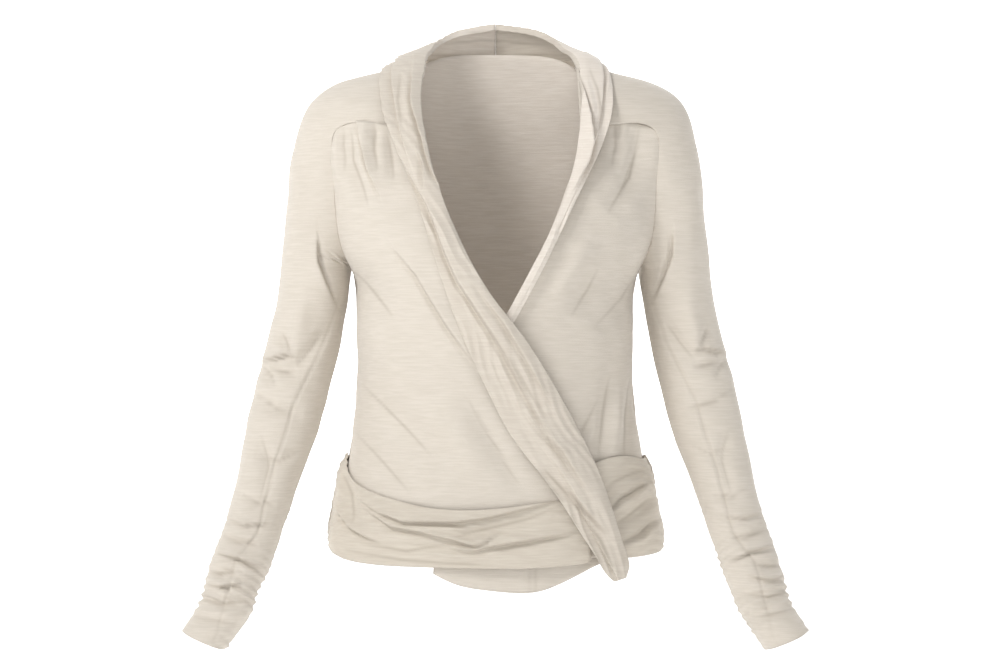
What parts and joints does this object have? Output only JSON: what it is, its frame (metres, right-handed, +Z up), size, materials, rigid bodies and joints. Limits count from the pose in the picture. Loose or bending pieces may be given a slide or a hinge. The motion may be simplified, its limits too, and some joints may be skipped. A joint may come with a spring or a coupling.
{
  "type": "wrap cardigan held on a wearer's shoulders",
  "caption": "Worn wrap cardigan in fine beige slub jersey, hollow, with a draped shawl collar, saddle sleeves and a folded hip sash.",
  "frame": {"origin": "midway between the shoulders, on the line that joins their tops, where the wearer holds the garment up", "axes": "+Z up, the wearer faces -Y, +X is the wearer's left"},
  "size_m": [0.634, 0.2566, 0.6503],
  "materials": {
    "body_jersey": "matte",
    "collar_jersey": "matte",
    "sash_jersey": "matte"
  },
  "bodies": {
    "root": {"back": "body_jersey", "right_front": "body_jersey", "left_front": "body_jersey", "right_sleeve": "body_jersey", "left_sleeve": "body_jersey", "right_collar": "collar_jersey", "left_collar": "collar_jersey", "right_sash": "sash_jersey", "left_sash": "sash_jersey", "back_sash": "sash_jersey"}
  },
  "joints": []
}
